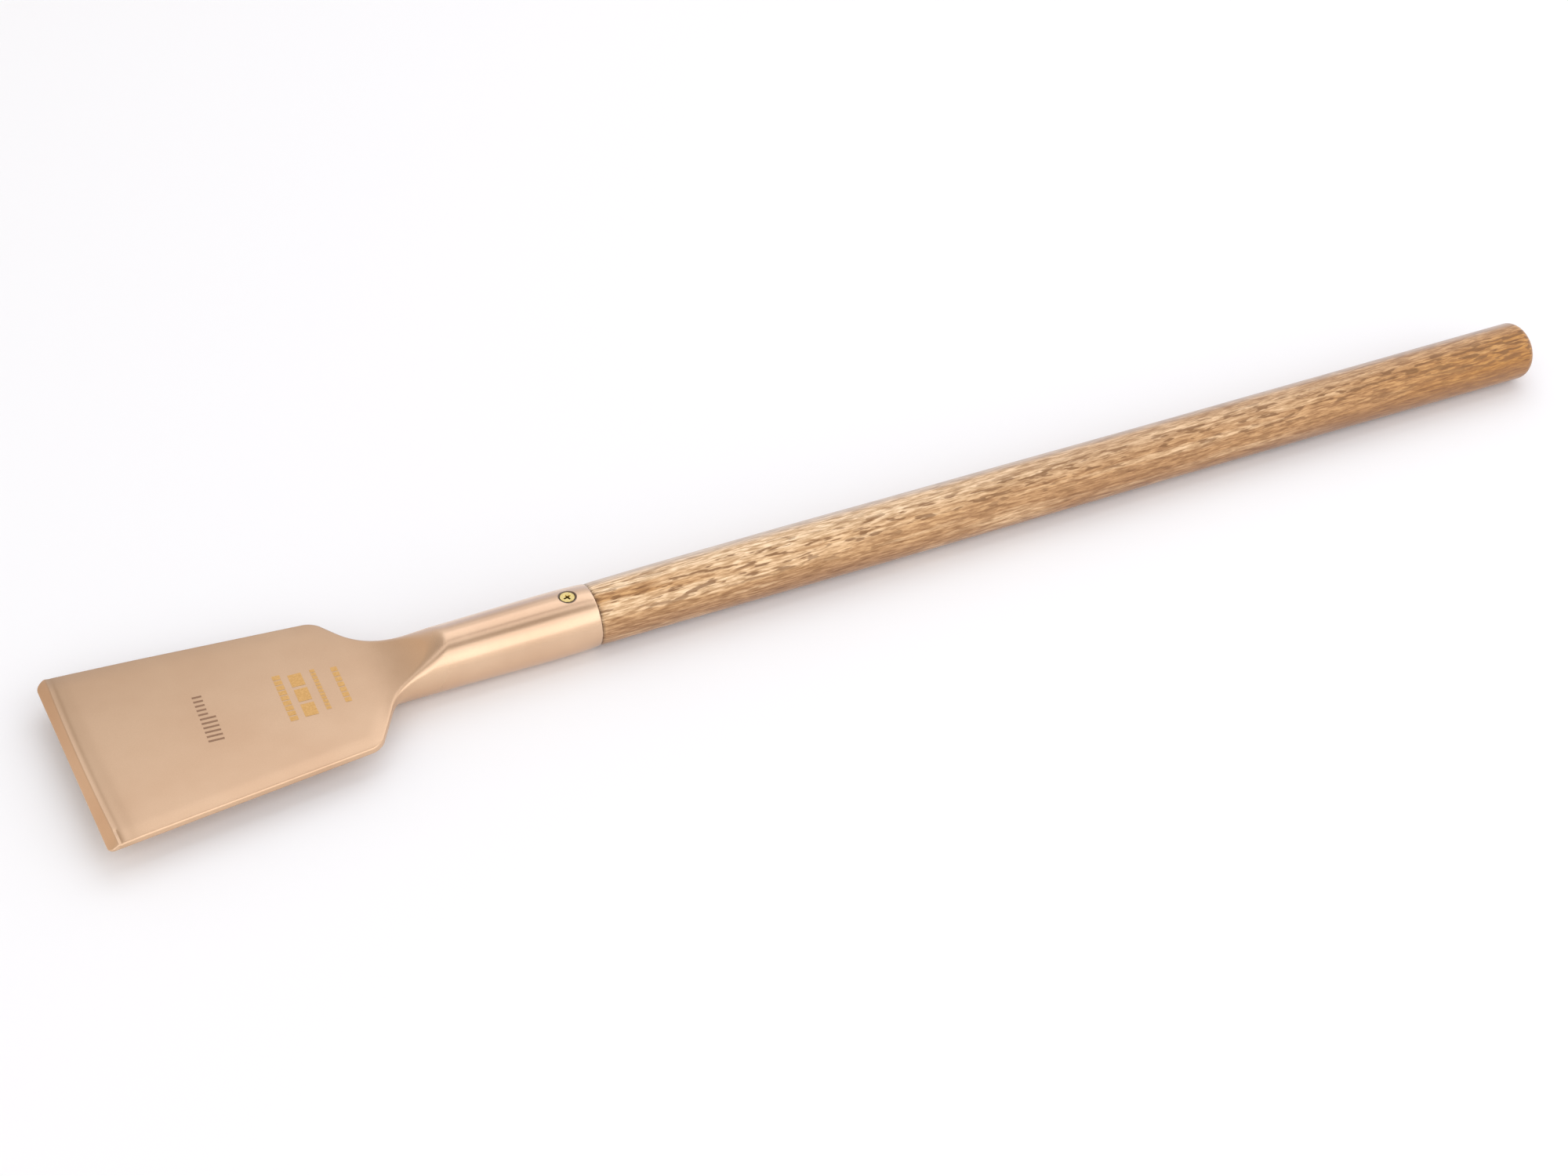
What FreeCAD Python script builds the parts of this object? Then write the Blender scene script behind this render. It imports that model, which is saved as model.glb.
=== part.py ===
"""Long-handled non-sparking hand scraper.

Three pieces: a cast copper-alloy head (flat blade and round socket in one), a turned wooden
handle whose tapered tenon sits in the socket, and one countersunk screw that pins the two.

Lengths are millimetres. The pieces are drawn in a tool frame, with X = 0 at the cutting edge,
+X along the handle, +Z out of the blade's upper face and the socket's axis on Y = Z = 0. They
are then moved so that the origin is at the bottom centre of the whole tool's box.
"""
import FreeCAD, Part
import os
from math import acos, radians, sin, sqrt, tan

Vector = FreeCAD.Vector

# Whole tool
OVERALL_LENGTH = 692.0

# Blade
EDGE_WIDTH = 100.4           # between the two tips before their corners are rounded
SHOULDER_WIDTH = 78.2
SHOULDER_X = 111.5
SHOULDER_SLOPE = 58.0        # degrees between the shoulder and the handle's axis
BLADE_UNDERSIDE = -1.8
BLADE_THICKNESS = 4.0
TIP_CORNER_RADIUS = 3.0
SHOULDER_RADIUS = 8.0
NECK_RADIUS = 9.0
NECK_INSET = 0.7             # how far the neck's sides lie inside the socket's
NECK_RISE = 1.6              # how much thicker the blade may get where it climbs the scoop
BEVEL_LENGTH = 4.2
EDGE_THICKNESS = 0.5
ROLL_WIDTH = 9.0             # how far in from each side the upper face starts to roll down
ROLL_DROP = 0.7

# Socket and the scoop between it and the blade
NOSE_START = 112.0
NOSE_LENGTH = 20.0
SOCKET_FRONT_RADIUS = 12.95
SOCKET_RADIUS = 13.7         # at its widest, just before it eases down to the mouth
MOUTH_X = 216.0
LIP_LENGTH = 20.0
LIP_DROP = 0.75
SCOOP_START = 116.0
SCOOP_RADIUS = 54.0
BORE_DEPTH = 58.0
BORE_MOUTH_RADIUS = 11.2
BORE_END_RADIUS = 10.4
BORE_TIP_LENGTH = 4.0

# Handle
HANDLE_RADIUS = 13.1
HANDLE_GAP = 0.15            # joint line between the socket's rim and the handle's shoulder
EASING_LENGTH = 5.0
EASING_DROP = 0.5
TENON_CLEARANCE = 0.1
TENON_END_GAP = 2.0
DOME_HEIGHT = 7.6

# Retaining screw and its holes
SCREW_X = 205.8
SCREW_LENGTH = 16.0
SCREW_RADIUS = 1.5
SCREW_TIP_LENGTH = 3.5
HEAD_RADIUS = 3.0
HEAD_RIM = 0.3
RECESS_SPAN = 3.5
RECESS_END_SPAN = 1.2
RECESS_WIDTH = 0.8
RECESS_DEPTH = 1.6
COUNTERSINK_RADIUS = 3.8
CLEARANCE_HOLE_RADIUS = 1.75
PILOT_CLEARANCE = 0.05

BLADE_TOP = BLADE_UNDERSIDE + BLADE_THICKNESS
CUT_MARGIN = 5.0             # how far a cutting tool reaches past what it cuts


def rounded_wire(corners):
    """Closed wire in the XY plane through (x, y, radius) corners, with tangent arcs at them."""
    count = len(corners)
    arcs = []
    for index in range(count):
        x, y, radius = corners[index]
        before = corners[index - 1]
        after = corners[(index + 1) % count]
        corner = Vector(x, y, 0)
        to_before = (Vector(before[0], before[1], 0) - corner).normalize()
        to_after = (Vector(after[0], after[1], 0) - corner).normalize()
        half_angle = acos(to_before.dot(to_after)) / 2
        setback = radius / tan(half_angle)
        inward = (to_before + to_after).normalize()
        middle = corner + inward * (radius / sin(half_angle) - radius)
        arcs.append((corner + to_before * setback, middle, corner + to_after * setback))
    edges = []
    for index in range(count):
        start, middle, end = arcs[index]
        if (end - start).Length > 1e-6:
            edges.append(Part.Arc(start, middle, end).toShape())
        edges.append(Part.LineSegment(end, arcs[(index + 1) % count][0]).toShape())
    return Part.Wire(edges)


def blade_plate():
    """The blade's plan outline, extruded as high as it reaches where it climbs the scoop."""
    neck_half = SOCKET_FRONT_RADIUS - NECK_INSET
    shoulder_half = SHOULDER_WIDTH / 2
    neck_x = SHOULDER_X + (shoulder_half - neck_half) / tan(radians(SHOULDER_SLOPE))
    inside_socket_x = NOSE_START + 2 * NOSE_LENGTH
    near_side = [
        (0, -EDGE_WIDTH / 2, TIP_CORNER_RADIUS),
        (SHOULDER_X, -shoulder_half, SHOULDER_RADIUS),
        (neck_x, -neck_half, NECK_RADIUS),
        (inside_socket_x, -neck_half, 0),
    ]
    far_side = [(x, -y, radius) for x, y, radius in reversed(near_side)]
    face = Part.Face(rounded_wire(near_side + far_side))
    face.translate(Vector(0, 0, BLADE_UNDERSIDE))
    return face.extrude(Vector(0, 0, BLADE_THICKNESS + NECK_RISE))


def bevel_cutter():
    """Wedge above the single ground bevel along the cutting edge."""
    low = Vector(0, 0, BLADE_UNDERSIDE + EDGE_THICKNESS)
    high = Vector(BEVEL_LENGTH, 0, BLADE_TOP)
    along = (high - low).normalize() * CUT_MARGIN
    points = [low - along, high + along, Vector(-CUT_MARGIN, 0, BLADE_TOP + CUT_MARGIN)]
    wedge = Part.Face(Part.makePolygon(points + points[:1]))
    wedge.translate(Vector(0, -EDGE_WIDTH, 0))
    return wedge.extrude(Vector(0, 2 * EDGE_WIDTH, 0))


def roll_cutter():
    """Tool that rolls the upper face down along the blade's +Y side."""
    arc_radius = (ROLL_WIDTH ** 2 + ROLL_DROP ** 2) / (2 * ROLL_DROP)
    centre_z = BLADE_TOP - arc_radius
    reach = ROLL_WIDTH + CUT_MARGIN
    half_reach = reach / 2
    start = Vector(0, -ROLL_WIDTH, BLADE_TOP)
    middle_z = centre_z + sqrt(arc_radius ** 2 - half_reach ** 2)
    end_z = centre_z + sqrt(arc_radius ** 2 - reach ** 2)
    middle = Vector(0, half_reach - ROLL_WIDTH, middle_z)
    end = Vector(0, CUT_MARGIN, end_z)
    top = Vector(0, CUT_MARGIN, BLADE_TOP + CUT_MARGIN)
    top_start = Vector(0, -ROLL_WIDTH, BLADE_TOP + CUT_MARGIN)
    edges = [
        Part.Arc(start, middle, end).toShape(),
        Part.LineSegment(end, top).toShape(),
        Part.LineSegment(top, top_start).toShape(),
        Part.LineSegment(top_start, start).toShape(),
    ]
    side_start = Vector(0, EDGE_WIDTH / 2, 0)
    side = Vector(SHOULDER_X, SHOULDER_WIDTH / 2, 0) - side_start
    face = Part.Face(Part.Wire(edges))
    face.translate(side_start - side * 0.1)
    return face.extrude(side * 1.25)


def socket_barrel():
    """Solid barrel of the socket, with its rounded nose under the blade and its eased lip."""
    nose_end = NOSE_START + NOSE_LENGTH
    lip_start = MOUTH_X - LIP_LENGTH
    lip_inner = SOCKET_RADIUS - LIP_DROP
    nose = Part.Ellipse(Vector(nose_end, 0, 0), NOSE_LENGTH, SOCKET_FRONT_RADIUS)
    lip = Part.Ellipse(Vector(lip_start, lip_inner, 0), LIP_LENGTH, LIP_DROP)
    nose_end_point = Vector(nose_end, SOCKET_FRONT_RADIUS, 0)
    lip_start_point = Vector(lip_start, SOCKET_RADIUS, 0)
    rim_point = Vector(MOUTH_X, lip_inner, 0)
    rim_centre = Vector(MOUTH_X, 0, 0)
    nose_tip = Vector(NOSE_START, 0, 0)
    edges = [
        Part.ArcOfEllipse(nose, radians(90), radians(180)).toShape(),
        Part.LineSegment(nose_end_point, lip_start_point).toShape(),
        Part.ArcOfEllipse(lip, 0, radians(90)).toShape(),
        Part.LineSegment(rim_point, rim_centre).toShape(),
        Part.LineSegment(rim_centre, nose_tip).toShape(),
    ]
    return revolved(edges)


def revolved(edges):
    """Solid of revolution about the X axis of the closed profile made by the edges."""
    profile = Part.Face(Part.Wire(Part.sortEdges(edges)[0]))
    return profile.revolve(Vector(0, 0, 0), Vector(1, 0, 0), 360)


def top_cutter():
    """Tool above the blade's flat upper face and the concave scoop that climbs to the socket."""
    centre_z = BLADE_TOP + SCOOP_RADIUS
    top_z = SOCKET_RADIUS + CUT_MARGIN
    start = Vector(SCOOP_START, 0, BLADE_TOP)
    middle_rise = (top_z - BLADE_TOP) / 3
    middle_x = SCOOP_START + sqrt(SCOOP_RADIUS ** 2 - (SCOOP_RADIUS - middle_rise) ** 2)
    end_x = SCOOP_START + sqrt(SCOOP_RADIUS ** 2 - (centre_z - top_z) ** 2)
    middle = Vector(middle_x, 0, BLADE_TOP + middle_rise)
    end = Vector(end_x, 0, top_z)
    front_top = Vector(-CUT_MARGIN, 0, top_z)
    front_low = Vector(-CUT_MARGIN, 0, BLADE_TOP)
    edges = [
        Part.LineSegment(front_low, start).toShape(),
        Part.Arc(start, middle, end).toShape(),
        Part.LineSegment(end, front_top).toShape(),
        Part.LineSegment(front_top, front_low).toShape(),
    ]
    face = Part.Face(Part.Wire(edges))
    face.translate(Vector(0, -EDGE_WIDTH, 0))
    return face.extrude(Vector(0, 2 * EDGE_WIDTH, 0))


def tapered_plug(shrink, end_gap):
    """Tapered round plug of the socket's bore: the bore itself, or the tenon that sits in it."""
    length = BORE_DEPTH - end_gap
    end_radius = BORE_END_RADIUS - shrink
    mouth_radius = BORE_MOUTH_RADIUS - shrink
    end_x = MOUTH_X - length
    tip = Part.makeCone(0.3 * end_radius, end_radius, BORE_TIP_LENGTH,
                        Vector(end_x - BORE_TIP_LENGTH, 0, 0), Vector(1, 0, 0))
    body = Part.makeCone(end_radius, mouth_radius, length, Vector(end_x, 0, 0), Vector(1, 0, 0))
    return tip.fuse(body)


def screw_surface():
    """Height of the socket's eased outer surface above its axis, at the screw."""
    past = (SCREW_X - MOUTH_X + LIP_LENGTH) / LIP_LENGTH
    return SOCKET_RADIUS - LIP_DROP * (1 - sqrt(1 - past ** 2))


def screw_seat():
    """Countersink and clearance hole through the top of the socket's wall."""
    surface = screw_surface()
    depth = COUNTERSINK_RADIUS - CLEARANCE_HOLE_RADIUS
    down = Vector(0, 0, -1)
    over = Part.makeCylinder(COUNTERSINK_RADIUS, CUT_MARGIN, Vector(SCREW_X, 0, surface))
    sink = Part.makeCone(COUNTERSINK_RADIUS, CLEARANCE_HOLE_RADIUS, depth,
                         Vector(SCREW_X, 0, surface), down)
    hole = Part.makeCylinder(CLEARANCE_HOLE_RADIUS, SOCKET_RADIUS,
                             Vector(SCREW_X, 0, surface), down)
    return over.fuse([sink, hole])


def scraper_head():
    """Blade, scoop and socket in one casting."""
    body = blade_plate().fuse(socket_barrel())
    body = body.cut(top_cutter()).cut(bevel_cutter())
    roll = roll_cutter()
    body = body.cut(roll)
    body = body.cut(roll.mirror(Vector(0, 0, 0), Vector(0, 1, 0)))
    return body.cut(tapered_plug(0, 0)).cut(screw_seat()).removeSplitter()


def screw_head_top():
    """Height of the screw head's flat top: it sits where its rim meets the countersink."""
    return screw_surface() - (COUNTERSINK_RADIUS - HEAD_RADIUS) + HEAD_RIM


def handle():
    """Round handle with a tapered tenon, an eased shoulder, a domed end and a pilot hole."""
    shoulder_x = MOUTH_X + HANDLE_GAP
    easing_end = shoulder_x + EASING_LENGTH
    dome_start = OVERALL_LENGTH - DOME_HEIGHT
    shoulder_radius = HANDLE_RADIUS - EASING_DROP
    easing = Part.Ellipse(Vector(easing_end, shoulder_radius, 0), EASING_LENGTH, EASING_DROP)
    shoulder_point = Vector(shoulder_x, shoulder_radius, 0)
    grip_start = Vector(easing_end, HANDLE_RADIUS, 0)
    grip_end = Vector(dome_start, HANDLE_RADIUS, 0)
    dome_tip = Vector(OVERALL_LENGTH, 0, 0)
    dome = Part.Ellipse(grip_end, dome_tip, Vector(dome_start, 0, 0))
    shoulder_centre = Vector(shoulder_x, 0, 0)
    edges = [
        Part.ArcOfEllipse(easing, radians(90), radians(180)).toShape(),
        Part.LineSegment(grip_start, grip_end).toShape(),
        Part.ArcOfEllipse(dome, 0, radians(90)).toShape(),
        Part.LineSegment(dome_tip, shoulder_centre).toShape(),
        Part.LineSegment(shoulder_centre, shoulder_point).toShape(),
    ]
    bridge = Part.makeCylinder(BORE_MOUTH_RADIUS - TENON_CLEARANCE, HANDLE_GAP,
                               Vector(MOUTH_X, 0, 0), Vector(1, 0, 0))
    body = revolved(edges).fuse([bridge, tapered_plug(TENON_CLEARANCE, TENON_END_GAP)])
    pilot_depth = SCREW_LENGTH + 2
    pilot = Part.makeCylinder(SCREW_RADIUS + PILOT_CLEARANCE, pilot_depth,
                              Vector(SCREW_X, 0, screw_head_top()), Vector(0, 0, -1))
    return body.cut(pilot).removeSplitter()


def cross_recess():
    """Cruciform driver recess: two crossed blades that narrow towards their bottom."""
    half_top = RECESS_SPAN / 2
    half_bottom = RECESS_END_SPAN / 2
    points = [
        Vector(-half_top, 0, 0),
        Vector(half_top, 0, 0),
        Vector(half_bottom, 0, -RECESS_DEPTH),
        Vector(-half_bottom, 0, -RECESS_DEPTH),
    ]
    outline = Part.Face(Part.makePolygon(points + points[:1]))
    outline.translate(Vector(0, -RECESS_WIDTH / 2, 0))
    one_way = outline.extrude(Vector(0, RECESS_WIDTH, 0))
    other_way = one_way.copy()
    other_way.rotate(Vector(0, 0, 0), Vector(0, 0, 1), 90)
    recess = one_way.fuse(other_way)
    recess.rotate(Vector(0, 0, 0), Vector(0, 0, 1), 20)
    return recess


def retaining_screw():
    """Countersunk wood screw; its thread is drawn as a plain shank of the thread's size."""
    down = Vector(0, 0, -1)
    cone_height = HEAD_RADIUS - SCREW_RADIUS
    shank_length = SCREW_LENGTH - SCREW_TIP_LENGTH
    rim = Part.makeCylinder(HEAD_RADIUS, HEAD_RIM, Vector(0, 0, 0), down)
    cone = Part.makeCone(HEAD_RADIUS, SCREW_RADIUS, cone_height, Vector(0, 0, -HEAD_RIM), down)
    shank = Part.makeCylinder(SCREW_RADIUS, shank_length, Vector(0, 0, 0), down)
    tip = Part.makeCone(SCREW_RADIUS, 0.1, SCREW_TIP_LENGTH, Vector(0, 0, -shank_length), down)
    screw = rim.fuse([cone, shank, tip]).cut(cross_recess()).removeSplitter()
    screw.translate(Vector(SCREW_X, 0, screw_head_top()))
    return screw


def save(name, shape):
    """Move a piece from the tool frame to the row frame and write it as its own STEP file."""
    shape.translate(Vector(-OVERALL_LENGTH / 2, 0, SOCKET_RADIUS))
    solids = shape.Solids
    box = shape.BoundBox
    print(name, "solids", len(solids), "valid", shape.isValid(), "volume", round(shape.Volume, 1),
          "x", round(box.XMin, 2), round(box.XMax, 2), "y", round(box.YMin, 2), round(box.YMax, 2),
          "z", round(box.ZMin, 2), round(box.ZMax, 2))
    solids[0].exportStep("parts/" + name + ".step")


os.makedirs("parts", exist_ok=True)
save("scraper_head", scraper_head())
save("handle", handle())
save("retaining_screw", retaining_screw())
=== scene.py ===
import math

import bpy
import numpy as np
from mathutils import Matrix, Vector


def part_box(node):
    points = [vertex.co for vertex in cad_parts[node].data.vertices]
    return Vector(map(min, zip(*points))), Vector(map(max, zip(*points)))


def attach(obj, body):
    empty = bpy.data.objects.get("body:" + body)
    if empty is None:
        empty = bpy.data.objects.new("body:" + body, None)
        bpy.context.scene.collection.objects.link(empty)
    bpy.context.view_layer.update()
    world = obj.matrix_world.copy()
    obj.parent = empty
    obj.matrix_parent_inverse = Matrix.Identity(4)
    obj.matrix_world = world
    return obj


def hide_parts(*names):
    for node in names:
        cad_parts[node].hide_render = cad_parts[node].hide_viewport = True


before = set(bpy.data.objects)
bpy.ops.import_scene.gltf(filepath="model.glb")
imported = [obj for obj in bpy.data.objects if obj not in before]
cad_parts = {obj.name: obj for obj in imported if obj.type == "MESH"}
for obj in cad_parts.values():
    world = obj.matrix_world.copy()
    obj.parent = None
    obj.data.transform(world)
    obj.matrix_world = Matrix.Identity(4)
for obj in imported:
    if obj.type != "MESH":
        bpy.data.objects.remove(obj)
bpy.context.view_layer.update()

# ---------------------------------------------------------------------------------------------
# The tool frame: millimetres, X = 0 at the cutting edge, Y = Z = 0 on the handle's axis.
# ---------------------------------------------------------------------------------------------
MM = 0.001
HEAD_LOW, HEAD_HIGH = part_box("scraper_head")
HANDLE_LOW, HANDLE_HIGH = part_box("handle")
SCREW_LOW, SCREW_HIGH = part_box("retaining_screw")
EDGE_X = HEAD_LOW.x
AXIS_Z = (HANDLE_LOW.z + HANDLE_HIGH.z) / 2
MOUTH = (HEAD_HIGH.x - EDGE_X) / MM
HANDLE_END = (HANDLE_HIGH.x - EDGE_X) / MM
HANDLE_RADIUS = (HANDLE_HIGH.z - HANDLE_LOW.z) / 2 / MM
SOCKET_RADIUS = (HEAD_HIGH.z - HEAD_LOW.z) / 2 / MM
SCREW_X = ((SCREW_LOW.x + SCREW_HIGH.x) / 2 - EDGE_X) / MM

# Blade
EDGE_HALF = 50.2
SHOULDER_HALF = 39.05
SHOULDER_X = 111.5
SHOULDER_SLOPE = math.radians(58)
NECK_X = 131.0
FRONT = 0.3                  # the worn cutting edge stands this far behind the nominal one
UNDERSIDE = -1.8
TOP = 2.2
NEAR_TIP_CORNER = 2.5
FAR_TIP_CORNER = 4.5
SHOULDER_CORNER = 3.4
FAR_SHOULDER_CUT = 0.45      # how much further back the far shoulder is dressed
HALVES_BLEND = 8.0           # near and far shapes meet within this far of the middle
EDGE_THICKNESS = 0.5
BEVEL_LENGTH = 3.5
MARK_HEIGHT = 0.04           # thickness of a printed or etched mark
BEVEL_BOW = 1.0              # how much longer the bevel is at its two ends
FAR_ROLL_WIDTH = 9.0
NEAR_ROLL_WIDTH = 7.0
NEAR_ROLL_DROP = 0.9
FAR_ROLL_DROP = 0.35
FAR_ROLL_FADE = (5, 45)      # the far roll is twice as deep before this stretch
ROLLS_BLEND = 15.0           # the two rolls meet within this far of the middle
CROWN = 0.3
FLAT_FADE = (112, 124)       # the rolls and the crown end over this stretch
UNDERSIDE_ROUND = 0.8
BEVEL_ROUND = 0.15
BEVEL_STEEPNESS = math.hypot(1, 1)                       # the bevel falls about one in one
GROOVE_DEPTH, GROOVE_AT, GROOVE_WIDTH = 0.16, 1.6, 1.1   # worn line just behind the bevel
DISH_DEPTH, DISH_AT, DISH_WIDTH = 0.20, 4.5, 3.5         # wider hollow behind that line
NICK_DEPTH, NICK_AT, NICK_WIDTH = 0.3, 1.0, 0.6          # nick at the bevel's near end
NICK_SPAN = (41.5, 43.5)                                 # across the blade, where it begins

# Socket and scoop
NOSE_END = 132.0
NOSE_LENGTH = 20.0
SOCKET_FRONT_RADIUS = 12.95
LIP_LENGTH = 20.0
LIP_DROP = 0.75
SCOOP_START = 116.0
SCOOP_RADIUS = 54.0
SCOOP_REACH = 0.9 * SCOOP_RADIUS
RIDGE_ROUND = 0.7            # rounding of the scoop's ridge where it starts
RIDGE_SOFTENING = 2.5        # how much rounder the ridge is at the top of the socket
RIDGE_SPAN = (120, 148)      # where the ridge runs
MOUTH_ROUND = 0.25
NEAR_NECK_BLEND = 9.5
FAR_NECK_BLEND = 17.0
BORE_START = 158.0
BORE_END_RADIUS = 10.4
BORE_MOUTH_RADIUS = 11.2
BORE_BOTTOM_SPREAD = 1.8     # how fast the bore's conical bottom widens
COUNTERSINK_RADIUS = 3.8
SCREW_HOLE_RADIUS = 1.75
SEAT_ROUND = 0.12
BORE_ROUND = 0.3

# Handle
HANDLE_GAP = 0.15            # between the socket's mouth and the grip's shoulder
EASING_LENGTH = 5.0
EASING_DROP = 0.5
DOME_HEIGHT = 7.6
TENON_CLEARANCE = 0.1
TENON_END_GAP = 2.0
TENON_CONE_LENGTH = 4.0
TENON_POINT_RADIUS = 3.0
SWELL_MEAN, SWELL_DEPTH = 0.03, 0.17
SWELL_MIDDLE, SWELL_PITCH = 325, 64
UNEVENNESS = 0.02
NEAR_BOW, FAR_BOW = 0.17, 0.27       # the stick's bends towards and away from the side with painted light

# Marks on the blade
TICK_COUNT, LONG_TICKS = 11, 6
TICK_START, TICK_LONG, TICK_SHORT = 52, 6.3, 3.8         # along the blade
TICK_FIRST, TICK_PITCH, TICK_WIDTH = -12, 2.6, 1.0       # across it
TICKS_TURN = 3.7                                         # degrees
PRINT_ROWS = ((84.4, 87.6, 14, 9), (90.4, 95.8, 13.5, 3),
              (99.3, 101.3, 12.4, 12), (107.4, 110, 11, 7))
DASH_SHARE = 0.82            # how much of its pitch a printed dash fills
PRINT_TURN = 2.8             # degrees
MARK_SPACING = 0.8           # between a mark's rows of points

# Direction across the handle that the side with painted light faces, as (Y, Z)
PAINTED_LIGHT_SIDE = (math.sin(math.radians(44)), math.cos(math.radians(44)))

# Light and camera: lengths in metres, the lens in millimetres
PANEL_COLOUR = (0.96, 1.0, 1.10)
PANEL_DISTANCE = 1.6
CAMERA_LENS = 66.33
CAMERA_ELEVATION = math.radians(40.33)
CAMERA_TURN = math.radians(28.81)
CAMERA_ROLL = math.radians(3.33)
CAMERA_AIM = Vector((-0.0499, -0.0166, AXIS_Z))
CAMERA_DISTANCE = 1.1966


# ---------------------------------------------------------------------------------------------
# Colours
# ---------------------------------------------------------------------------------------------
def linear(red, green, blue):
    """Linear colour from 0 to 255 display values."""
    def one(value):
        share = value / 255
        return share / 12.92 if share <= 0.04045 else ((share + 0.055) / 1.055) ** 2.4
    return one(red), one(green), one(blue)


COPPER_DARK = linear(216, 179, 145)
COPPER_LIGHT = linear(225, 190, 156)
COPPER_PAINTED_SHADE = linear(168, 138, 106)
COPPER_GRAIN = linear(165, 128, 100)
COUNTERSINK_PAINTED_SHADE = linear(62, 44, 30)
SCREW_BRASS_DARK = linear(214, 190, 120)
SCREW_BRASS_LIGHT = linear(232, 210, 146)
RECESS_PAINTED_SHADE = linear(110, 98, 52)
WOOD_SHADED = linear(153, 115, 80)
WOOD_PLAIN = linear(198, 160, 115)
WOOD_PAINTED_LIGHT = linear(228, 202, 168)
WOOD_DEEP = linear(151, 105, 56)
WOOD_AMBER = linear(172, 120, 48)
WOOD_STREAK = linear(224, 195, 158)
WOOD_PAINTED_UNDERSIDE_SHADE = linear(128, 92, 68)
WOOD_FLECK = linear(118, 76, 30)
WOOD_FIBRE = linear(148, 107, 65)
WOOD_PAINTED_SHEEN = linear(186, 178, 174)
RIPPLE_STAIN = (0.91, 0.79, 0.64)
PORE_STAIN = (0.95, 0.84, 0.70)


def to_row(points):
    """Row-frame metres from tool-frame millimetres."""
    return np.asarray(points) * MM + np.array([EDGE_X, 0, AXIS_Z])


# ---------------------------------------------------------------------------------------------
# Distance fields: negative inside, about one unit per millimetre
# ---------------------------------------------------------------------------------------------
def both(a, b, radius):
    """Where two fields overlap, with the edge between them rounded."""
    outside = np.hypot(np.maximum(a + radius, 0), np.maximum(b + radius, 0))
    return outside + np.minimum(np.maximum(a, b) + radius, 0) - radius


def either(a, b, blend):
    """Two fields joined, with a fillet in the corner between them."""
    near = np.maximum(blend - np.abs(a - b), 0) / blend
    return np.minimum(a, b) - near ** 2 * blend / 4


def ramp(value, start, end):
    """0 before start, 1 after end, smooth between."""
    t = np.clip((value - start) / (end - start), 0, 1)
    return t * t * (3 - 2 * t)


def side_distance(x, y):
    """Distance out of the blade's tapering sides."""
    taper = (EDGE_HALF - SHOULDER_HALF) / SHOULDER_X
    return (np.abs(y) - EDGE_HALF + taper * x) / math.hypot(1, taper)


def shoulder_distance(x, y):
    """Distance out of the blade's sides and shoulders."""
    slope_out = (x - SHOULDER_X) * math.sin(SHOULDER_SLOPE)
    slope_out = slope_out + (np.abs(y) - SHOULDER_HALF) * math.cos(SHOULDER_SLOPE)
    slope_out = slope_out + FAR_SHOULDER_CUT * ramp(y, -HALVES_BLEND, HALVES_BLEND)
    return both(side_distance(x, y), slope_out, SHOULDER_CORNER)


def outline_distance(x, y):
    """Distance out of the blade's plan outline."""
    tip = np.where(y > 0, FAR_TIP_CORNER, NEAR_TIP_CORNER)
    outline = both(shoulder_distance(x, y), FRONT - x, tip)
    return np.maximum(outline, x - NECK_X)


def bevel_length(y):
    return BEVEL_LENGTH + BEVEL_BOW * (y / EDGE_HALF) ** 2


def top_height(x, y):
    """Height of the head's upper face: crown, hollow behind the bevel, rolled sides and scoop."""
    climb = np.clip(x - SCOOP_START, 0, SCOOP_REACH)
    height = TOP + SCOOP_RADIUS - np.sqrt(SCOOP_RADIUS ** 2 - climb ** 2)
    far_side = ramp(y, -ROLLS_BLEND, ROLLS_BLEND)
    far_drop = FAR_ROLL_DROP * (2 - ramp(x, *FAR_ROLL_FADE))
    drop = NEAR_ROLL_DROP + (far_drop - NEAR_ROLL_DROP) * far_side
    width = NEAR_ROLL_WIDTH + (FAR_ROLL_WIDTH - NEAR_ROLL_WIDTH) * far_side
    roll = np.clip(1 + shoulder_distance(x, y) / width, 0, 1.4) ** 2
    flat = 1 - ramp(x, *FLAT_FADE)
    height = height - flat * (drop * roll + CROWN * (y / EDGE_HALF) ** 2)
    behind = x - bevel_length(y)
    near_half = 0.45 + 0.55 * ramp(-y, -20, 30)
    height = height - GROOVE_DEPTH * np.exp(-((behind - GROOVE_AT) / GROOVE_WIDTH) ** 2)
    dish = DISH_DEPTH * near_half
    height = height - dish * np.exp(-((behind - DISH_AT) / DISH_WIDTH) ** 2)
    nick = NICK_DEPTH * ramp(-y, *NICK_SPAN)
    return height - nick * np.exp(-((behind - NICK_AT) / NICK_WIDTH) ** 2)


def bevel_height(x, y):
    """Height of the ground bevel, from the cutting edge up to the upper face."""
    foot = UNDERSIDE + EDGE_THICKNESS
    length = bevel_length(y)
    return foot + (top_height(length, y) - foot) * x / length


def barrel_radius(x):
    """The socket's outer radius along its length, from the nose to the lip."""
    run = np.clip((x - NOSE_END) / (MOUTH - LIP_LENGTH - NOSE_END), 0, 1)
    radius = SOCKET_FRONT_RADIUS + run * (SOCKET_RADIUS - SOCKET_FRONT_RADIUS)
    past = np.clip((x - MOUTH + LIP_LENGTH) / LIP_LENGTH, 0, 1)
    return radius - LIP_DROP * (1 - np.sqrt(np.maximum(1 - past ** 2, 0)))


def barrel_field(x, radial):
    """The socket's solid barrel, with its rounded nose."""
    ahead = np.maximum(NOSE_END - x, 0) / NOSE_LENGTH
    nose = (np.hypot(ahead, radial / SOCKET_FRONT_RADIUS) - 1) * SOCKET_FRONT_RADIUS
    tube = radial - barrel_radius(x)
    return both(np.where(x < NOSE_END, nose, tube), x - MOUTH, MOUTH_ROUND)


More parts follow.
